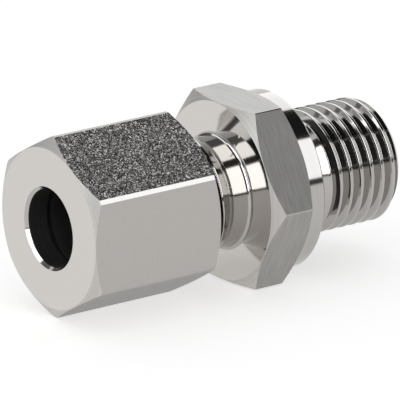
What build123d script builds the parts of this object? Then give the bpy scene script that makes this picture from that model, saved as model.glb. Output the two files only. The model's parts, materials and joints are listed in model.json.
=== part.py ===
from build123d import *
from math import cos, radians, tan
import os

# Straight screw-in fitting for metal tube: a turned body with a hexagon, a union nut on the
# tube end, a cutting ring between them, and a parallel thread with a soft seal on the port end.
# All sizes are in millimetres. The axis of the fitting is X. The port's sealing face is x = 0,
# the port end is on +X and the tube end is on -X. Two hexagon flats face up and down.
# The threads are plain cylinders at their major diameter.
# A wall, rise or depth is radial. From the tube outwards, they add up to the standard sizes of
# this fitting: M14 x 1.5 thread, 17 mm nut, 19 mm hexagon and 18.9 mm collar.

# Tube
tube_d = 8.0
flow_bore_d = 6.0

# Body: port end
port_thread_d = 13.157
port_thread_length = 12.0
port_thread_chamfer = 0.93
port_groove_depth = 0.98
port_groove_width = 1.9
bore_end_chamfer = 0.3
collar_inset = 0.05
collar_width = 2.0
collar_chamfer = 0.3

# Body: hexagon, one wrench size up from the nut's
wrench_step = 2.0
hex_width = 5.0
hex_corner_trim = 0.035

# Body: tube end
mouth_wall = 1.95
mouth_chamfer = 0.95
shank_length = 10.0
shank_groove_depth = 1.15
shank_groove_width = 2.1
shank_root_chamfer = 0.25
cone_rise = 1.0
cone_half_angle = 12.0
socket_clearance = 0.1
socket_depth = 7.0

# Both ends of a thread by a groove run out on the same slope, measured from the axis
runout_angle = 30.0

# Both hexagons have turned end chamfers, measured from the end face
hex_chamfer_angle = 30.0
hex_face_inset = 0.05

# Seal in the collar
seal_rim = 0.95
seal_seat_depth = 1.1
seal_thickness = 1.5
seal_side_gap = 0.25
seal_bore_gap = 0.1
seal_edge_chamfer = 0.35

# Cutting ring
ring_wall = 1.95
ring_length = 9.5
ring_nose_wall = 0.6
ring_nose_length = 4.4
ring_nose_taper = 9.0
ring_wedge_angle = 45.0
ring_tail_wall = 0.7
ring_bore_clearance = 0.1
ring_edge_land = 0.9
ring_groove_width = 1.5
ring_groove_depth = 0.3
ring_seat_gap = 0.05

# Union nut
nut_wall = 1.45
nut_length = 15.5
nut_corner_trim = 0.14
nut_hole_clearance = 0.2
nut_hole_chamfer = 0.3
nut_hole_length = 2.5
nut_chamber_clearance = 0.5
nut_chamber_length = 1.35
nut_thread_clearance = 0.05
nut_mouth_chamfer = 0.45
nut_seat_gap = 0.07

# Stations along the body, from the port's sealing face
hex_right = -collar_width
hex_left = hex_right - hex_width
body_mouth = hex_left - shank_length
tube_stop = body_mouth + socket_depth
port_end = port_thread_length

# Radii of the tube end, outwards from the tube: socket, cone, M14 thread, 17 mm nut
flow_bore_r = flow_bore_d / 2
socket_r = (tube_d + socket_clearance) / 2
cone_mouth_r = socket_r + cone_rise
shank_r = cone_mouth_r + mouth_wall
shank_groove_r = shank_r - shank_groove_depth
nut_thread_r = shank_r + nut_thread_clearance
nut_flats = 2 * (nut_thread_r + nut_wall)

# Radii of the hexagon and the port end: 19 mm hexagon, collar, seal seat, G 1/4 thread
hex_flats = nut_flats + wrench_step
collar_r = hex_flats / 2 - collar_inset
seal_seat_r = collar_r - seal_rim
port_r = port_thread_d / 2
port_groove_r = port_r - port_groove_depth

# Run-outs: where each groove's slope starts and where it meets the thread
runout_slope = tan(radians(runout_angle))
port_groove_end = port_groove_width
port_runout_end = port_groove_end + (port_r - port_groove_r) / runout_slope
shank_groove_end = hex_left - shank_groove_width
shank_runout_end = shank_groove_end - shank_groove_depth / runout_slope

# The cone meets the tube socket here
cone_slope = tan(radians(cone_half_angle))
cone_end = body_mouth + (cone_mouth_r - socket_r) / cone_slope

# Cutting ring: its nose stands just clear of the cone, hand-tight
ring_bore_r = (tube_d + ring_bore_clearance) / 2
ring_r = ring_bore_r + ring_wall
ring_nose_r = ring_bore_r + ring_nose_wall
ring_neck_r = ring_nose_r + ring_nose_length * tan(radians(ring_nose_taper))
ring_front = body_mouth + (cone_mouth_r - ring_nose_r - ring_seat_gap) / cone_slope
ring_neck = ring_front - ring_nose_length
ring_tail = ring_front - ring_length
wedge_slope = tan(radians(ring_wedge_angle))
ring_tail_r = ring_bore_r + ring_tail_wall
ring_shoulder = ring_tail + (ring_r - ring_tail_r) / wedge_slope

# Union nut: its inner cone stands just clear of the ring's shoulder
nut_hole_r = (tube_d + nut_hole_clearance) / 2
nut_chamber_r = ring_r + nut_chamber_clearance / 2
nut_cone_start = ring_shoulder - (ring_r - nut_hole_r) / wedge_slope - nut_seat_gap
nut_cone_end = nut_cone_start + (nut_chamber_r - nut_hole_r) / wedge_slope
nut_left = nut_cone_start - nut_hole_length
nut_right = nut_left + nut_length
nut_thread_start = nut_cone_end + nut_chamber_length


def turned_bar(left, right, flats, corner_trim):
    """Half section of a hexagon bar with turned corners and chamfers at both ends."""
    face_r = flats / 2 - hex_face_inset
    corner_r = flats / 2 / cos(radians(30)) - corner_trim
    run = (corner_r - face_r) * tan(radians(hex_chamfer_angle))
    return [
        (left, 0),
        (left, face_r),
        (left + run, corner_r),
        (right - run, corner_r),
        (right, face_r),
        (right, 0),
    ]


with BuildPart() as stud_body:
    # Hexagon, flats up and down
    with BuildSketch(Plane.YZ.offset(hex_left)):
        RegularPolygon(hex_flats / 2, 6, major_radius=False)
    extrude(amount=hex_width)
    with BuildSketch(Plane.XZ):
        with BuildLine():
            Polyline(turned_bar(hex_left, hex_right, hex_flats, hex_corner_trim), close=True)
        make_face()
    revolve(axis=Axis.X, mode=Mode.INTERSECT)

    # Tube-end shank: chamfered thread, run-out and groove, up to the hexagon
    with BuildSketch(Plane.XZ):
        with BuildLine():
            Polyline(
                (body_mouth, 0),
                (body_mouth, shank_r - mouth_chamfer),
                (body_mouth + mouth_chamfer, shank_r),
                (shank_runout_end, shank_r),
                (shank_groove_end, shank_groove_r),
                (hex_left, shank_groove_r),
                (hex_left, 0),
                close=True,
            )
        make_face()
    revolve(axis=Axis.X)
    root = (
        stud_body.edges()
        .filter_by(GeomType.CIRCLE)
        .filter_by_position(Axis.X, hex_left - 0.001, hex_left + 0.001)
        .sort_by(SortBy.RADIUS)[0]
    )
    chamfer(root, length=shank_root_chamfer)

    # Port end: collar, groove, run-out and chamfered thread
    with BuildSketch(Plane.XZ):
        with BuildLine():
            Polyline(
                (hex_right, 0),
                (hex_right, collar_r),
                (-collar_chamfer, collar_r),
                (0, collar_r - collar_chamfer),
                (0, port_groove_r),
                (port_groove_end, port_groove_r),
                (port_runout_end, port_r),
                (port_end - port_thread_chamfer, port_r),
                (port_end, port_r - port_thread_chamfer),
                (port_end, 0),
                close=True,
            )
        make_face()
    revolve(axis=Axis.X)

    # Seat of the seal in the collar's face
    with BuildSketch(Plane.YZ):
        Circle(seal_seat_r)
        Circle(port_groove_r, mode=Mode.SUBTRACT)
    extrude(amount=-seal_seat_depth, mode=Mode.SUBTRACT)

    # Cone, tube socket and flow bore, right through
    with BuildSketch(Plane.XZ):
        with BuildLine():
            Polyline(
                (body_mouth, 0),
                (body_mouth, cone_mouth_r),
                (cone_end, socket_r),
                (tube_stop, socket_r),
                (tube_stop, flow_bore_r),
                (port_end - bore_end_chamfer, flow_bore_r),
                (port_end, flow_bore_r + bore_end_chamfer),
                (port_end, 0),
                close=True,
            )
        make_face()
    revolve(axis=Axis.X, mode=Mode.SUBTRACT)

stud_body.part.label = "stud_body"


with BuildPart() as stud_seal:
    seal_inner_r = port_groove_r + seal_bore_gap
    seal_outer_r = seal_seat_r - seal_side_gap
    seal_middle = (seal_thickness / 2 - seal_seat_depth, (seal_inner_r + seal_outer_r) / 2)
    with BuildSketch(Plane.XZ) as section:
        with Locations(seal_middle):
            Rectangle(seal_thickness, seal_outer_r - seal_inner_r)
        chamfer(section.vertices().sort_by(Axis.X)[-2:], length=seal_edge_chamfer)
    revolve(axis=Axis.X)

stud_seal.part.label = "stud_seal"


with BuildPart() as cutting_ring:
    with BuildSketch(Plane.XZ):
        with BuildLine():
            Polyline(
                (ring_front, ring_bore_r),
                (ring_front, ring_nose_r),
                (ring_neck, ring_neck_r),
                (ring_neck - (ring_r - ring_neck_r) / wedge_slope, ring_r),
                (ring_shoulder, ring_r),
                (ring_tail, ring_tail_r),
                (ring_tail, ring_bore_r),
                close=True,
            )
        make_face()
    revolve(axis=Axis.X)

    # A relief in the bore leaves two cutting edges near the nose
    relief_right = ring_front - ring_edge_land
    relief_left = relief_right - ring_groove_width
    with BuildSketch(Plane.XZ):
        with BuildLine():
            Polyline(
                (relief_right, 0),
                (relief_right, ring_bore_r + ring_groove_depth),
                (relief_left, ring_bore_r),
                (relief_left, 0),
                close=True,
            )
        make_face()
    revolve(axis=Axis.X, mode=Mode.SUBTRACT)

cutting_ring.part.label = "cutting_ring"


with BuildPart() as union_nut:
    # Hexagon with a corner up, its corners turned and its ends chamfered
    with BuildSketch(Plane.YZ.offset(nut_left)):
        RegularPolygon(nut_flats / 2, 6, major_radius=False, rotation=30)
    extrude(amount=nut_length)
    with BuildSketch(Plane.XZ):
        with BuildLine():
            Polyline(turned_bar(nut_left, nut_right, nut_flats, nut_corner_trim), close=True)
        make_face()
    revolve(axis=Axis.X, mode=Mode.INTERSECT)

    # Tube hole, inner cone, ring chamber and threaded bore
    with BuildSketch(Plane.XZ):
        with BuildLine():
            Polyline(
                (nut_left, 0),
                (nut_left, nut_hole_r + nut_hole_chamfer),
                (nut_left + nut_hole_chamfer, nut_hole_r),
                (nut_cone_start, nut_hole_r),
                (nut_cone_end, nut_chamber_r),
                (nut_thread_start, nut_chamber_r),
                (nut_thread_start + nut_thread_r - nut_chamber_r, nut_thread_r),
                (nut_right - nut_mouth_chamfer, nut_thread_r),
                (nut_right, nut_thread_r + nut_mouth_chamfer),
                (nut_right, 0),
                close=True,
            )
        make_face()
    revolve(axis=Axis.X, mode=Mode.SUBTRACT)

union_nut.part.label = "union_nut"


os.makedirs("parts", exist_ok=True)
export_step(stud_body.part, "parts/stud_body.step")
export_step(stud_seal.part, "parts/stud_seal.step")
export_step(cutting_ring.part, "parts/cutting_ring.step")
export_step(union_nut.part, "parts/union_nut.step")
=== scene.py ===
import json
import math

import bmesh
import bpy
from mathutils import Matrix, Vector


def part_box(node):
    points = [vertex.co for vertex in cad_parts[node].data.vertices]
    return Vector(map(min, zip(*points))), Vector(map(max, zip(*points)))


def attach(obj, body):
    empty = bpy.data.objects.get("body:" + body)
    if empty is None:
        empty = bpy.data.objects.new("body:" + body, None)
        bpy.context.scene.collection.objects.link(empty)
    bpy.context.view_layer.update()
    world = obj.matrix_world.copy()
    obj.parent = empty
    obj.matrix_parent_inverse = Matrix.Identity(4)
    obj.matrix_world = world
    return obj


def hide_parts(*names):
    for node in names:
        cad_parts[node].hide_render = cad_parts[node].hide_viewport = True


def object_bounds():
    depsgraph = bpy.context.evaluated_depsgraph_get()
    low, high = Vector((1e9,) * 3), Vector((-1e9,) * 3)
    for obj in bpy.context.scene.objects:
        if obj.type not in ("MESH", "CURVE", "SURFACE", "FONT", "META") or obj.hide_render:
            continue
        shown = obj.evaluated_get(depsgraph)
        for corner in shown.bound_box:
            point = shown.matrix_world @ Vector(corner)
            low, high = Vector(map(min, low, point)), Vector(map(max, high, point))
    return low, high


# A screw-in tube fitting of bright steel on a pale studio floor. Sizes are in millimetres here
# and are scaled to metres where meshes are made. The fitting's axis is X. Angles round it are
# measured from +Z towards -Y, so they grow the way that a right-hand thread turns along +X.
MM = 0.001

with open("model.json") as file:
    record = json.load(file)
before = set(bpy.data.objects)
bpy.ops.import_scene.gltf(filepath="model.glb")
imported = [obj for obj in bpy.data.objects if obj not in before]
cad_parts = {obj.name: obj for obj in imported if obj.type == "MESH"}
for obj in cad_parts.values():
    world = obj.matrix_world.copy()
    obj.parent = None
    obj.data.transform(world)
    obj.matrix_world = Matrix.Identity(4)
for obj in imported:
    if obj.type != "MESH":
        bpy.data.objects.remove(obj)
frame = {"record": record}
cad_box = [list(corner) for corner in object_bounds()]
mounts = {mount["name"]: mount for mount in frame["record"]["mounts"]}


def span(node, axis):
    """Lowest and highest place of a CAD node along an axis, in millimetres."""
    low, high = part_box(node)
    return low[axis] / MM, high[axis] / MM


def mount_radius(name):
    return mounts[name]["dims"]["r_mm"]


# Camera, fitted to the photograph: its frame is 400 pixels wide and high
PHOTO_SIDE = 400.0
SENSOR = 36.0
VIEW_AZIMUTH = -35.062
VIEW_ELEVATION = 18.262
VIEW_ROLL = -0.415
VIEW_DISTANCE = 813.7
ORIGIN_PIXEL = (272.93, 177.81)
PIXELS_PER_MM = 9.6575

# Columns of every turned mesh and of one turn of a groove, and the angle of a sharp edge
COLUMNS = 192
GROOVE_STEPS = 192
SHARP_ANGLE = 24.0

# Two planes are the same within this distance, and two directions within this cosine
SAME_PLACE = 0.002
SAME_WAY = 0.9999

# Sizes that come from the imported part
BODY_LEFT, BODY_RIGHT = span("stud_body", 0)
HEX_FLATS = 2 * span("stud_body", 2)[1]
HEX_CORNER_R = span("stud_body", 1)[1]
NUT_LEFT, NUT_RIGHT = span("union_nut", 0)
NUT_FLATS = 2 * span("union_nut", 1)[1]
NUT_CORNER_R = span("union_nut", 2)[1]
RING_LEFT, RING_RIGHT = span("cutting_ring", 0)
RING_R = span("cutting_ring", 2)[1]
SEAL_LEFT, SEAL_RIGHT = span("stud_seal", 0)
SEAL_R = span("stud_seal", 2)[1]
FLOW_BORE_R = mount_radius("flow_bore")
PORT_R = mount_radius("port_thread")
SOCKET_R = mount_radius("tube_socket")
RING_BORE_R = mount_radius("ring_grip")
NUT_HOLE_R = mount_radius("tube_entry")

# Body, port end
PORT_CHAMFER = 0.93
PORT_GROOVE_R = 5.5985
PORT_GROOVE_END = 1.9
BORE_CHAMFER = 0.3
COLLAR_R = 9.45
COLLAR_WIDTH = 2.0
COLLAR_CHAMFER = 0.3
SEAT_R = 8.5
SEAT_DEPTH = 1.1

# Body, hexagon and tube end
HEX_WIDTH = 5.0
HEX_LEFT = -COLLAR_WIDTH - HEX_WIDTH
HEX_INSET = 0.05
HEX_CHAMFER_SLOPE = math.tan(math.radians(30))
SHANK_R = 7.0
SHANK_CHAMFER = 0.95
SHANK_GROOVE_R = 5.85
SHANK_GROOVE_WIDTH = 2.1
ROOT_FILLET = 0.4
RUNOUT_SLOPE = math.tan(math.radians(30))
CONE_R = 5.05
CONE_SLOPE = math.tan(math.radians(12))
TUBE_STOP = -10.0

# Threads: pitch, angle of one flank, rounding of crests and roots, and the place of one crest
PORT_PITCH = 1.337
PORT_FLANK = 27.5
PORT_DEPTH = 0.856
PORT_CREST_R = 0.12
PORT_ROOT_R = 0.15
PORT_CREST_X = 3.98
SHANK_PITCH = 1.5
SHANK_FLANK = 30.0
SHANK_DEPTH = 0.92
SHANK_CREST_R = 0.08
SHANK_ROOT_R = 0.2
SHANK_CREST_X = -11.15
CREST_ANGLE = math.radians(75.5)
NUT_CREST_R = 0.06
NUT_ROOT_R = 0.1

# A groove's section runs this far past the surface, and this much wider for each step out
GROOVE_OVER = 0.05
GROOVE_SPREAD = 1.5
ARC_STEPS = 3

# Where the groove bars start and end, past the ends of their threads
PORT_BAR_START = 1.0
PORT_BAR_PAST = 1.2
SHANK_BAR_PAST = 1.3
SHANK_BAR_END_TURN = 0.65
SHANK_BAR_FADE = 0.5
NUT_BAR_START = 0.75
NUT_BAR_PAST = 1.0

# Union nut
NUT_HOLE_CHAMFER = 0.3
NUT_HOLE_LENGTH = 2.5
NUT_CHAMBER_R = 6.25
NUT_THREAD_START = -22.0734
NUT_THREAD_R = 7.05
NUT_MINOR_R = 6.19
NUT_RELIEF = 1.0
NUT_MOUTH_R = 7.5

# Cutting ring
RING_NOSE_R = 4.65
RING_NECK_R = 5.347
RING_NOSE_LENGTH = 4.4
RING_TAIL_R = 4.75
RING_EDGE_LAND = 0.9
RING_GROOVE_WIDTH = 1.5
RING_GROOVE_DEPTH = 0.3

# Seal
SEAL_BORE_R = 5.6985
SEAL_ROUND = 0.35


def on_axis(angle, x, r):
    """The point at an angle round the axis, in metres."""
    return (x * MM, -r * math.sin(angle) * MM, r * math.cos(angle) * MM)


def fixed(x, r):
    """A profile row that is the same all round."""
    return lambda angle: (x, r)


def hexagon_radius(angle, flats, corner_r, phase):
    """Radius of a hexagon bar with turned corners. One flat is centred on phase."""
    off = (angle - phase + math.radians(30)) % math.radians(60) - math.radians(30)
    return min(flats / 2 / math.cos(off), corner_r)


def hexagon_row(face_x, inward, flats, corner_r, phase):
    """The row where a hexagon's end chamfer meets its flats and corners."""
    face_r = flats / 2 - HEX_INSET

    def row(angle):
        r = hexagon_radius(angle, flats, corner_r, phase)
        return (face_x + inward * (r - face_r) * HEX_CHAMFER_SLOPE, r)

    return row


def column_angles(flats=None, corner_r=None, phase=0.0):
    """Even angles round the axis. A hexagon's corners get a column at each side instead of one."""
    angles = [2 * math.pi * i / COLUMNS for i in range(COLUMNS)]
    if flats is None:
        return angles
    step = 2 * math.pi / COLUMNS
    half = math.radians(30) - math.acos(flats / 2 / corner_r)
    for k in range(6):
        corner = phase + math.radians(30 + 60 * k)
        room = 0.6 * max(step, half)
        angles = [a for a in angles if abs(math.remainder(a - corner, 2 * math.pi)) > room]
        angles += [(corner - half) % (2 * math.pi), (corner + half) % (2 * math.pi)]
    return sorted(angles)


def arc(centre_x, centre_r, radius, start, end, steps):
    """Rows along an arc of the profile, from one direction in degrees to another."""
    rows = []
    for i in range(steps + 1):
        turn = math.radians(start + (end - start) * i / steps)
        rows.append(fixed(centre_x + radius * math.cos(turn), centre_r + radius * math.sin(turn)))
    return rows


def new_object(name, verts, faces):
    mesh = bpy.data.meshes.new(name)
    mesh.from_pydata(verts, [], faces)
    tidy = bmesh.new()
    tidy.from_mesh(mesh)
    bmesh.ops.recalc_face_normals(tidy, faces=tidy.faces)
    tidy.to_mesh(mesh)
    tidy.free()
    piece = bpy.data.objects.new(name, mesh)
    bpy.context.scene.collection.objects.link(piece)
    return piece


def turned(name, rows, angles):
    """A closed skin through a loop of profile rows, turned round the axis."""
    count = len(angles)
    verts = [on_axis(a, *row(a)) for row in rows for a in angles]
    faces = []
    for i in range(len(rows)):
        k = (i + 1) % len(rows)
        for j in range(count):
            m = (j + 1) % count
            faces.append((i * count + j, i * count + m, k * count + m, k * count + j))
    return new_object(name, verts, faces)


def groove_section(depth_r, surface_r, flank, crest_r, root_r):
    """Section of a thread groove as (offset, radius), cut from surface_r down to depth_r.

    Arcs round its root and the crests beside it. It runs a little past the surface.
    """
    sign = 1 if surface_r > depth_r else -1
    lean = math.radians(90 - flank)
    # The root's arc touches both flanks and its bottom lies on depth_r
    root = []
    for i in range(ARC_STEPS + 1):
        turn = lean * i / ARC_STEPS
        root.append((root_r * math.sin(turn), depth_r + sign * root_r * (1 - math.cos(turn))))
    # The crest's arc starts where the flank reaches it and ends level with the surface
    drop = crest_r * (1 - math.cos(lean))
    rise = abs(surface_r - root[-1][1]) - drop
    start = root[-1][0] + rise * math.tan(math.radians(flank))
    crest = []
    for i in range(ARC_STEPS + 1):
        turn = lean * (1 - i / ARC_STEPS)
        offset = start + crest_r * (math.sin(lean) - math.sin(turn))
        crest.append((offset, surface_r - sign * crest_r * (1 - math.cos(turn))))
    half = root + crest
    half.append((crest[-1][0] + GROOVE_OVER * GROOVE_SPREAD, surface_r + sign * GROOVE_OVER))
    return list(reversed(half[1:])) + [(-x, r) for x, r in half]


def groove_bar(name, section, pitch, centre_x, first_x, last_x, fade=0.0):
    """A bar that follows a right-hand helix, to be cut out of a turned piece.

    Over the last share of a turn given by fade, it rises out of the surface.
    """
    height = max(r for x, r in section) - min(r for x, r in section)
    start = CREST_ANGLE + 2 * math.pi * (first_x - centre_x) / pitch
    turns = (last_x - first_x) / pitch
    steps = round(turns * GROOVE_STEPS)
    count = len(section)
    verts = []
    for i in range(steps + 1):
        angle = start + 2 * math.pi * turns * i / steps
        x = centre_x + pitch * (angle - CREST_ANGLE) / (2 * math.pi)
        rise = height * max(0.0, 1 - (1 - i / steps) * turns / fade) if fade else 0.0
        verts += [on_axis(angle, x + offset, r + rise) for offset, r in section]
    faces = [tuple(range(count)), tuple(range(steps * count, (steps + 1) * count))]
    for i in range(steps):
        for j in range(count):
            m = (j + 1) % count
            a = i * count
            faces.append((a + j, a + m, a + count + m, a + count + j))
    return new_object(name, verts, faces)


def cut(piece, tool):
    """Cuts a tool out of a piece and removes the tool."""
    modifier = piece.modifiers.new("cut", "BOOLEAN")
    modifier.operation = "DIFFERENCE"
    modifier.solver = "EXACT"
    modifier.object = tool
    bpy.context.view_layer.update()
    graph = bpy.context.evaluated_depsgraph_get()
    mesh = bpy.data.meshes.new_from_object(piece.evaluated_get(graph))
    piece.modifiers.clear()
    piece.data = mesh
    bpy.data.objects.remove(tool)


def body_piece():
    """The body: port thread, collar, hexagon and tube-end thread, with its bore right through."""
    runout = (PORT_R - PORT_GROOVE_R) / RUNOUT_SLOPE
    shank_groove = HEX_LEFT - SHANK_GROOVE_WIDTH
    shank_runout = (SHANK_R - SHANK_GROOVE_R) / RUNOUT_SLOPE
    cone_end = BODY_LEFT + (CONE_R - SOCKET_R) / CONE_SLOPE
    hexagon = (HEX_FLATS, HEX_CORNER_R, 0.0)
    rows = [
        fixed(BODY_RIGHT, FLOW_BORE_R + BORE_CHAMFER),
        fixed(BODY_RIGHT, PORT_R - PORT_CHAMFER),
        fixed(BODY_RIGHT - PORT_CHAMFER, PORT_R),
        fixed(PORT_GROOVE_END + runout, PORT_R),
        fixed(PORT_GROOVE_END, PORT_GROOVE_R),
        fixed(-SEAT_DEPTH, PORT_GROOVE_R),
        fixed(-SEAT_DEPTH, SEAT_R),
        fixed(0, SEAT_R),
        fixed(0, COLLAR_R - COLLAR_CHAMFER),
        fixed(-COLLAR_CHAMFER, COLLAR_R),
        fixed(-COLLAR_WIDTH, COLLAR_R),
        hexagon_row(-COLLAR_WIDTH, -1, *hexagon),
        hexagon_row(HEX_LEFT, 1, *hexagon),
        fixed(HEX_LEFT, HEX_FLATS / 2 - HEX_INSET),
    ]
    rows += arc(HEX_LEFT - ROOT_FILLET, SHANK_GROOVE_R + ROOT_FILLET, ROOT_FILLET, 0, -90, 5)
    rows += [
        fixed(shank_groove, SHANK_GROOVE_R),
        fixed(shank_groove - shank_runout, SHANK_R),
        fixed(BODY_LEFT + SHANK_CHAMFER, SHANK_R),
        fixed(BODY_LEFT, SHANK_R - SHANK_CHAMFER),
        fixed(BODY_LEFT, CONE_R),
        fixed(cone_end, SOCKET_R),
        fixed(TUBE_STOP, SOCKET_R),
        fixed(TUBE_STOP, FLOW_BORE_R),
        fixed(BODY_RIGHT - BORE_CHAMFER, FLOW_BORE_R),
    ]
    piece = turned("threaded_body", rows, column_angles(*hexagon))
    port_section = groove_section(
        PORT_R - PORT_DEPTH, PORT_R, PORT_FLANK, PORT_CREST_R, PORT_ROOT_R
    )
    groove_x = PORT_CREST_X + PORT_PITCH / 2
    first_x, last_x = PORT_BAR_START, BODY_RIGHT + PORT_BAR_PAST
    cut(piece, groove_bar("port_cut", port_section, PORT_PITCH, groove_x, first_x, last_x))
    shank_section = groove_section(
        SHANK_R - SHANK_DEPTH, SHANK_R, SHANK_FLANK, SHANK_CREST_R, SHANK_ROOT_R
    )
    # The groove fades out before the run-out, on the side away from the camera
    groove_x = SHANK_CREST_X - SHANK_PITCH / 2
    first_x, last_x = BODY_LEFT - SHANK_BAR_PAST, groove_x + SHANK_BAR_END_TURN * SHANK_PITCH
    bar = groove_bar(
        "shank_cut", shank_section, SHANK_PITCH, groove_x, first_x, last_x, SHANK_BAR_FADE
    )
    cut(piece, bar)
    return piece


def nut_piece():
    """The union nut: hexagon with turned corners, tube hole, inner cone, chamber and thread."""
    hexagon = (NUT_FLATS, NUT_CORNER_R, math.radians(30))
    face_r = NUT_FLATS / 2 - HEX_INSET
    cone_start = NUT_LEFT + NUT_HOLE_LENGTH
    cone_end = cone_start + NUT_CHAMBER_R - NUT_HOLE_R
    relief_left = NUT_THREAD_START + NUT_THREAD_R - NUT_CHAMBER_R
    relief_right = relief_left + NUT_RELIEF
    thread_left = relief_right + NUT_THREAD_R - NUT_MINOR_R
    rows = [
        fixed(NUT_LEFT, NUT_HOLE_R + NUT_HOLE_CHAMFER),
        fixed(NUT_LEFT, face_r),
        hexagon_row(NUT_LEFT, 1, *hexagon),
        hexagon_row(NUT_RIGHT, -1, *hexagon),
        fixed(NUT_RIGHT, face_r),
        fixed(NUT_RIGHT, NUT_MOUTH_R),
        fixed(NUT_RIGHT - (NUT_MOUTH_R - NUT_MINOR_R), NUT_MINOR_R),
        fixed(thread_left, NUT_MINOR_R),
        fixed(relief_right, NUT_THREAD_R),
        fixed(relief_left, NUT_THREAD_R),
        fixed(NUT_THREAD_START, NUT_CHAMBER_R),
        fixed(cone_end, NUT_CHAMBER_R),
        fixed(cone_start, NUT_HOLE_R),
        fixed(NUT_LEFT + NUT_HOLE_CHAMFER, NUT_HOLE_R),
    ]
    piece = turned("union_nut_threaded", rows, column_angles(*hexagon))
    section = groove_section(NUT_THREAD_R, NUT_MINOR_R, SHANK_FLANK, NUT_CREST_R, NUT_ROOT_R)
    first_x, last_x = relief_left + NUT_BAR_START, NUT_RIGHT + NUT_BAR_PAST
    cut(piece, groove_bar("nut_cut", section, SHANK_PITCH, SHANK_CREST_X, first_x, last_x))
    return piece


def ring_piece():
    """The cutting ring: tapered nose, neck, 45 degree shoulders, and a relief behind its edge."""
    neck = RING_RIGHT - RING_NOSE_LENGTH
    relief_right = RING_RIGHT - RING_EDGE_LAND
    relief_left = relief_right - RING_GROOVE_WIDTH
    rows = [
        fixed(RING_RIGHT, RING_BORE_R),
        fixed(RING_RIGHT, RING_NOSE_R),
        fixed(neck, RING_NECK_R),
        fixed(neck - (RING_R - RING_NECK_R), RING_R),
        fixed(RING_LEFT + (RING_R - RING_TAIL_R), RING_R),
        fixed(RING_LEFT, RING_TAIL_R),
        fixed(RING_LEFT, RING_BORE_R),
        fixed(relief_left, RING_BORE_R),
        fixed(relief_right, RING_BORE_R + RING_GROOVE_DEPTH),
        fixed(relief_right, RING_BORE_R),
    ]
    return turned("grip_ring", rows, column_angles())


def seal_piece():
    """The soft seal in the collar's face, with rounded outer edges."""
    rows = [
        fixed(SEAL_LEFT, SEAL_BORE_R),
        fixed(SEAL_LEFT, SEAL_R),
    ]
    rows += arc(SEAL_RIGHT - SEAL_ROUND, SEAL_R - SEAL_ROUND, SEAL_ROUND, 90, 0, 6)
    rows += arc(SEAL_RIGHT - SEAL_ROUND, SEAL_BORE_R + SEAL_ROUND, SEAL_ROUND, 0, -90, 6)
    return turned("port_seal", rows, column_angles())


def smooth(piece):
    """Smooth shading with sharp edges where faces meet at a clear angle.

    Normals follow the larger faces, so that flats and thread flanks stay true beside roundings.
    """
    mesh = piece.data
    mesh.polygons.foreach_set("use_smooth", [True] * len(mesh.polygons))
    mesh.set_sharp_from_angle(angle=math.radians(SHARP_ANGLE))
    weighted = piece.modifiers.new("normals", "WEIGHTED_NORMAL")
    weighted.keep_sharp = True


# Finishes. Each has its own base colour: the faced ends are the brightest.
# The turned, drawn and brushed colours are partly the finish and partly painted shade:
# they are set darker for the shaded floor and contact shadow that these faces reflect.
TURNED_AND_SHADE = (0.43, 0.415, 0.398, 1.0)
FACED = (0.60, 0.575, 0.55, 1.0)
DRAWN_AND_SHADE = (0.436, 0.416, 0.398, 1.0)
BRUSHED_AND_SHADE = (0.345, 0.333, 0.317, 1.0)
SATIN = (0.50, 0.485, 0.46, 1.0)
# Painted shade: the dark base colour of bores, hidden faces and the ring inside the nut
INNER_SHADE = (0.14, 0.137, 0.134, 1.0)


def material(name):
    made = bpy.data.materials.new(name)
    made.use_nodes = True
    return made, made.node_tree.nodes, made.node_tree.links, made.node_tree.nodes["Principled BSDF"]


def metal(name, colour, roughness):
    made, nodes, links, shader = material(name)
    shader.inputs["Base Color"].default_value = colour
    shader.inputs["Metallic"].default_value = 1.0
    shader.inputs["Roughness"].default_value = roughness
    return made, nodes, links, shader


def node(nodes, kind, **settings):
    made = nodes.new(kind)
    for name, value in settings.items():
        setattr(made, name, value)
    return made


def lathe_coordinates(nodes, links):
    """(x, radius, 0) of a point, so that a texture runs in rings round the axis."""
    place = node(nodes, "ShaderNodeTexCoord")
    split = node(nodes, "ShaderNodeSeparateXYZ")
    links.new(place.outputs["Object"], split.inputs[0])
    across = node(nodes, "ShaderNodeCombineXYZ")
    links.new(split.outputs["Y"], across.inputs["X"])
    links.new(split.outputs["Z"], across.inputs["Y"])
    length = node(nodes, "ShaderNodeVectorMath", operation="LENGTH")
    links.new(across.outputs[0], length.inputs[0])
    made = node(nodes, "ShaderNodeCombineXYZ")
    links.new(split.outputs["X"], made.inputs["X"])
    links.new(length.outputs["Value"], made.inputs["Y"])
    return made.outputs[0]


def part_coordinates(nodes, links, scale=(1.0, 1.0, 1.0)):
    """Coordinates on the part, stretched by scale along each axis."""
    place = node(nodes, "ShaderNodeTexCoord")
    made = node(nodes, "ShaderNodeVectorMath", operation="MULTIPLY")
    made.inputs[1].default_value = scale
    links.new(place.outputs["Object"], made.inputs[0])
    return made.outputs[0]


def noise(nodes, links, vector, scale, detail=2.0):
    made = node(nodes, "ShaderNodeTexNoise")
    made.inputs["Scale"].default_value = scale
    made.inputs["Detail"].default_value = detail
    links.new(vector, made.inputs["Vector"])
    return made.outputs["Fac"]


def spread(nodes, links, value, low, high):
    """Maps the middle of a noise to the range from low to high."""
    made = node(nodes, "ShaderNodeMapRange")
    made.inputs["From Min"].default_value = 0.3
    made.inputs["From Max"].default_value = 0.7
    made.inputs["To Min"].default_value = low
    made.inputs["To Max"].default_value = high
    links.new(value, made.inputs["Value"])
    return made.outputs["Result"]


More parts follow.
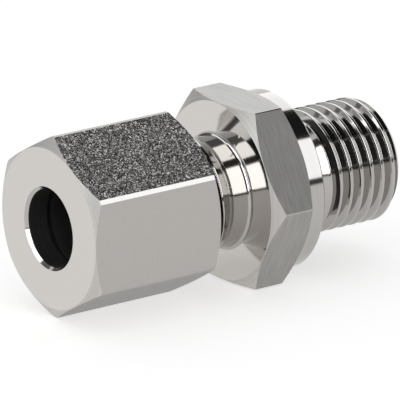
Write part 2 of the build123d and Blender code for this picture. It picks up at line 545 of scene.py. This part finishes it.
def shade(nodes, links, value, colour, low, high, shader):
    """Varies the base colour between low and high times the colour."""
    made = node(nodes, "ShaderNodeMix", data_type="RGBA")
    made.inputs[6].default_value = tuple(low * c for c in colour[:3]) + (1.0,)
    made.inputs[7].default_value = tuple(high * c for c in colour[:3]) + (1.0,)
    links.new(spread(nodes, links, value, 0.0, 1.0), made.inputs["Factor"])
    links.new(made.outputs[2], shader.inputs["Base Color"])


def bump(nodes, links, height, strength, distance):
    made = node(nodes, "ShaderNodeBump")
    made.inputs["Strength"].default_value = strength
    made.inputs["Distance"].default_value = distance
    links.new(height, made.inputs["Height"])
    return made.outputs["Normal"]


def facets(nodes, links, scale, tilt):
    """Normals of a grain of small cells, each tilted its own way."""
    cells = node(nodes, "ShaderNodeTexVoronoi", feature="F1")
    cells.inputs["Scale"].default_value = scale
    links.new(part_coordinates(nodes, links), cells.inputs["Vector"])
    even = node(nodes, "ShaderNodeVectorMath", operation="SUBTRACT")
    even.inputs[1].default_value = (0.5, 0.5, 0.5)
    links.new(cells.outputs["Color"], even.inputs[0])
    small = node(nodes, "ShaderNodeVectorMath", operation="SCALE")
    small.inputs["Scale"].default_value = tilt
    links.new(even.outputs[0], small.inputs[0])
    tilted = node(nodes, "ShaderNodeVectorMath", operation="ADD")
    links.new(small.outputs[0], tilted.inputs[0])
    links.new(node(nodes, "ShaderNodeNewGeometry").outputs["Normal"], tilted.inputs[1])
    made = node(nodes, "ShaderNodeVectorMath", operation="NORMALIZE")
    links.new(tilted.outputs[0], made.inputs[0])
    return made.outputs[0]


def turned_steel():
    """Bright steel with fine rings from the lathe."""
    made, nodes, links, shader = metal("turned_steel", TURNED_AND_SHADE, 0.1)
    rings = noise(nodes, links, lathe_coordinates(nodes, links), 5000.0, 3.0)
    shade(nodes, links, rings, TURNED_AND_SHADE, 0.97, 1.02, shader)
    links.new(bump(nodes, links, rings, 0.2, 0.000006), shader.inputs["Normal"])
    return made


def faced_steel():
    """The flat ends, faced smooth."""
    made, nodes, links, shader = metal("faced_steel", FACED, 0.07)
    rings = noise(nodes, links, lathe_coordinates(nodes, links), 5000.0, 3.0)
    shade(nodes, links, rings, FACED, 0.985, 1.01, shader)
    links.new(bump(nodes, links, rings, 0.1, 0.000004), shader.inputs["Normal"])
    return made


def grained_steel():
    """Drawn bar with an even grain of small cells, which stay dark towards the edge of sight."""
    made, nodes, links, shader = metal("grained_steel", DRAWN_AND_SHADE, 0.25)
    shader.inputs["Specular Tint"].default_value = (0.6, 0.6, 0.6, 1.0)
    grain = noise(nodes, links, part_coordinates(nodes, links), 6000.0, 1.0)
    shade(nodes, links, grain, DRAWN_AND_SHADE, 0.98, 1.02, shader)
    links.new(facets(nodes, links, 8500.0, 0.2), shader.inputs["Normal"])
    return made


def brushed_steel():
    """Milled flats, brushed round the fitting, so that they scatter light along it."""
    made, nodes, links, shader = metal("brushed_steel", BRUSHED_AND_SHADE, 0.34)
    streaks = noise(nodes, links, part_coordinates(nodes, links, (5000.0, 350.0, 350.0)), 1.0, 4.0)
    shade(nodes, links, streaks, BRUSHED_AND_SHADE, 0.89, 1.11, shader)
    links.new(bump(nodes, links, streaks, 1.0, 0.00003), shader.inputs["Normal"])
    shader.inputs["Anisotropic"].default_value = 0.93
    shader.inputs["Anisotropic Rotation"].default_value = 0.25
    round_axis = node(nodes, "ShaderNodeTangent", direction_type="RADIAL", axis="X")
    links.new(round_axis.outputs["Tangent"], shader.inputs["Tangent"])
    return made


def satin_steel():
    """The turned chamfers of the hexagons, left by a coarser cut."""
    made, nodes, links, shader = metal("satin_steel", SATIN, 0.4)
    rings = noise(nodes, links, lathe_coordinates(nodes, links), 4000.0, 2.0)
    shade(nodes, links, rings, SATIN, 0.92, 1.08, shader)
    links.new(bump(nodes, links, rings, 0.6, 0.00002), shader.inputs["Normal"])
    return made


def inner_shade_steel():
    """Bores and hidden faces, rough from drilling, with a dark base colour that is painted shade.
    """
    made, nodes, links, shader = metal("inner_shade_steel", INNER_SHADE, 0.42)
    rings = noise(nodes, links, lathe_coordinates(nodes, links), 4000.0, 3.0)
    shade(nodes, links, rings, INNER_SHADE, 0.85, 1.15, shader)
    links.new(bump(nodes, links, rings, 0.3, 0.00001), shader.inputs["Normal"])
    return made


def seal_rubber():
    made, nodes, links, shader = material("seal_rubber")
    shader.inputs["Base Color"].default_value = (0.02, 0.02, 0.02, 1.0)
    shader.inputs["Roughness"].default_value = 0.55
    grain = noise(nodes, links, part_coordinates(nodes, links), 6000.0, 3.0)
    links.new(bump(nodes, links, grain, 0.2, 0.00001), shader.inputs["Normal"])
    return made


def radial(face):
    """How far a face's normal points away from the axis, from -1 to 1."""
    centre = Vector((0, face.center.y, face.center.z))
    return face.normal.dot(centre.normalized())


def on_flat(face, flats, phase):
    for k in range(6):
        turn = phase + math.radians(60 * k)
        outward = Vector((0, -math.sin(turn), math.cos(turn)))
        near = abs(face.center.dot(outward) / MM - flats / 2) < SAME_PLACE
        if near and face.normal.dot(outward) > SAME_WAY:
            return True
    return False


def on_hexagon_chamfer(face, flats):
    """Whether a face is one of the 30 degree cones at a hexagon's ends."""
    steep = abs(abs(face.normal.x) - math.cos(math.radians(30))) < 0.01
    return steep and math.hypot(face.center.y, face.center.z) / MM > flats / 2 - HEX_INSET


def paint(piece, flats, phase, edge, finishes):
    """Gives flats, hexagon chamfers, inner faces and flat ends their own finishes, in this order
    after the lathe's, which the rest get.

    Inner faces start at edge, just past the chamfer of the hole in the left end.
    """
    mesh = piece.data
    mesh.materials.clear()
    for finish in finishes:
        mesh.materials.append(finish)
    for face in mesh.polygons:
        face.material_index = 0
        if on_flat(face, flats, phase):
            face.material_index = 1
        elif on_hexagon_chamfer(face, flats):
            face.material_index = 2
        # Faces turned in towards the axis get the dark inner finish, which is painted shade
        elif radial(face) < -0.1 and face.center.x > edge * MM:
            face.material_index = 3
        elif abs(face.normal.x) > SAME_WAY:
            face.material_index = 4


# Cards and softboxes of the studio, on a dome round the fitting. Each is placed by its angle round
# the X axis, from +Z towards -Y, and by the share of its direction that lies along X:
# first angle, last angle, first share, last share, brightness. Where none stands, the fitting shows
# the white background.
DOME = 2.5
CARD_STEP = 3.0
CARDS = {
    "back_softbox": (-67, -19, 0.18, 0.97, 2.0),
    "back_top_softbox": (-62, -19, -0.2, 0.17, 2.0),
    "back_flag": (-89, -63, -0.3, 0.16, 0.15),
    "top_flag": (-18, 28, -0.3, 0.97, 0.02),
    "front_softbox": (29, 80, 0.49, 0.572, 2.5),
    "front_low_softbox": (29, 80, 0.573, 0.67, 0.9),
    "front_flag": (29, 80, -0.36, 0.489, 0.05),
    "right_flag": (29, 80, 0.671, 0.97, 0.08),
    "horizon_flag": (81, 88, -0.36, 0.97, 0.05),
    "left_softbox": (30, 83, -0.93, -0.38, 4.2),
    "left_horizon_flag": (84, 88, -0.93, -0.38, 0.05),
    "left_gap": (13, 28, -0.7, -0.32, 0.03),
    "left_top_softbox": (-27, 12, -0.93, -0.38, 3.2),
    "left_middle_softbox": (13, 29, -0.93, -0.71, 2.5),
    "left_flag": (-55, -29, -0.7, -0.32, 0.2),
    "left_far_flag": (-55, -29, -0.93, -0.72, 0.5),
    "left_low_flag": (-89, -56, -0.93, -0.32, 0.8),
    "left_end": (-89, 89, -1.0, -0.94, 0.35),
}
CARD_COLOUR = (0.95, 0.975, 1.0, 1.0)
AMBIENT = 0.6


def card(name, first, last, left, right, brightness):
    """A glowing or dark panel on the dome. Only gloss shows it: it gives no plain light."""
    rows = max(2, round((last - first) / CARD_STEP))
    left_turn, right_turn = math.asin(left), math.asin(right)
    columns = max(2, round(math.degrees(right_turn - left_turn) / CARD_STEP))
    verts = []
    for i in range(rows + 1):
        turn = math.radians(first + (last - first) * i / rows)
        for j in range(columns + 1):
            tilt = left_turn + (right_turn - left_turn) * j / columns
            x, ring = math.sin(tilt) * DOME, math.cos(tilt) * DOME
            verts.append((x, -ring * math.sin(turn), ring * math.cos(turn)))
    faces = []
    for i in range(rows):
        for j in range(columns):
            corner = i * (columns + 1) + j
            faces.append((corner, corner + 1, corner + columns + 2, corner + columns + 1))
    mesh = bpy.data.meshes.new(name)
    mesh.from_pydata(verts, [], faces)
    made = bpy.data.objects.new(name, mesh)
    bpy.context.scene.collection.objects.link(made)
    made.visible_camera = False
    made.visible_diffuse = False
    finish, nodes, links, shader = material(name)
    nodes.remove(shader)
    glow = node(nodes, "ShaderNodeEmission")
    glow.inputs["Color"].default_value = CARD_COLOUR
    glow.inputs["Strength"].default_value = brightness
    links.new(glow.outputs[0], nodes["Material Output"].inputs["Surface"])
    mesh.materials.append(finish)


def studio():
    """White all round for the camera and for what metal shows, and a lower level as plain light."""
    world = bpy.data.worlds.new("studio")
    bpy.context.scene.world = world
    world.use_nodes = True
    nodes, links = world.node_tree.nodes, world.node_tree.links
    path = node(nodes, "ShaderNodeLightPath")
    shown = path.outputs["Is Camera Ray"]
    for kind in ("Is Glossy Ray", "Is Transmission Ray"):
        either = node(nodes, "ShaderNodeMath", operation="MAXIMUM")
        links.new(shown, either.inputs[0])
        links.new(path.outputs[kind], either.inputs[1])
        shown = either.outputs[0]
    level = node(nodes, "ShaderNodeMix", data_type="FLOAT")
    links.new(shown, level.inputs["Factor"])
    level.inputs[2].default_value = AMBIENT
    level.inputs[3].default_value = 1.0
    background = nodes["Background"]
    background.inputs["Color"].default_value = (1.0, 1.0, 1.0, 1.0)
    links.new(level.outputs[0], background.inputs["Strength"])
    for name, sizes in CARDS.items():
        card(name, *sizes)


FLOOR_COLOUR = 0.8
FLOOR_GLOW = 0.54
FLOOR_SIZE = 4.0


def floor():
    """A wide pale floor under the fitting's lowest corner. It shows white and keeps the shadow."""
    size, z = FLOOR_SIZE, cad_box[0][2]
    corners = [(-size, -size, z), (size, -size, z), (size, size, z), (-size, size, z)]
    mesh = bpy.data.meshes.new("floor")
    mesh.from_pydata(corners, [], [(0, 1, 2, 3)])
    made = bpy.data.objects.new("floor", mesh)
    bpy.context.scene.collection.objects.link(made)
    finish, nodes, links, shader = material("pale_floor")
    nodes.remove(shader)
    diffuse = node(nodes, "ShaderNodeBsdfDiffuse")
    diffuse.inputs["Color"].default_value = (FLOOR_COLOUR, FLOOR_COLOUR, FLOOR_COLOUR, 1.0)
    glow = node(nodes, "ShaderNodeEmission")
    glow.inputs["Strength"].default_value = FLOOR_GLOW
    both = node(nodes, "ShaderNodeAddShader")
    links.new(diffuse.outputs[0], both.inputs[0])
    links.new(glow.outputs[0], both.inputs[1])
    links.new(both.outputs[0], nodes["Material Output"].inputs["Surface"])
    mesh.materials.append(finish)


def camera():
    """The photograph's camera, from the fitted angles and the place of the origin in its frame."""
    azimuth, elevation, roll = (math.radians(a) for a in (VIEW_AZIMUTH, VIEW_ELEVATION, VIEW_ROLL))
    flat = Vector((-math.sin(azimuth), math.cos(azimuth), 0))
    forward = flat * math.cos(elevation) - Vector((0, 0, math.sin(elevation)))
    right = Vector((math.cos(azimuth), math.sin(azimuth), 0))
    up = right.cross(forward)
    rolled_right = right * math.cos(roll) + up * math.sin(roll)
    rolled_up = up * math.cos(roll) - right * math.sin(roll)
    aside = (ORIGIN_PIXEL[0] - PHOTO_SIDE / 2) / PIXELS_PER_MM
    above = (PHOTO_SIDE / 2 - ORIGIN_PIXEL[1]) / PIXELS_PER_MM
    place = -(forward * VIEW_DISTANCE + rolled_right * aside + rolled_up * above) * MM
    data = bpy.data.cameras.new("camera")
    data.sensor_width = SENSOR
    data.lens = PIXELS_PER_MM * VIEW_DISTANCE / PHOTO_SIDE * SENSOR
    data.clip_start, data.clip_end = 0.05, 20.0
    made = bpy.data.objects.new("camera", data)
    turn = Matrix((rolled_right, rolled_up, -forward)).transposed().to_4x4()
    made.matrix_world = Matrix.Translation(place) @ turn
    bpy.context.scene.collection.objects.link(made)
    bpy.context.scene.camera = made


def place(piece, body, cad_node, slot):
    smooth(piece)
    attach(piece, body)
    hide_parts(cad_node)


lathe, satin, inner, faced = turned_steel(), satin_steel(), inner_shade_steel(), faced_steel()
body = body_piece()
paint(body, HEX_FLATS, 0.0, BODY_LEFT, (lathe, brushed_steel(), satin, inner, faced))
place(body, "body", "stud_body", "steel_body")
nut = nut_piece()
hole_edge = NUT_LEFT + NUT_HOLE_CHAMFER
paint(nut, NUT_FLATS, math.radians(30), hole_edge, (lathe, grained_steel(), satin, inner, faced))
place(nut, "nut", "union_nut", "steel_nut")
ring = ring_piece()
# The ring sits inside the nut and gets the dark inner finish, which is painted shade
ring.data.materials.append(inner)
place(ring, "ring", "cutting_ring", "steel_ring")
seal = seal_piece()
seal.data.materials.append(seal_rubber())
place(seal, "body", "stud_seal", "seal_rubber")

floor()
studio()
camera()
bpy.context.scene.view_settings.view_transform = "Standard"
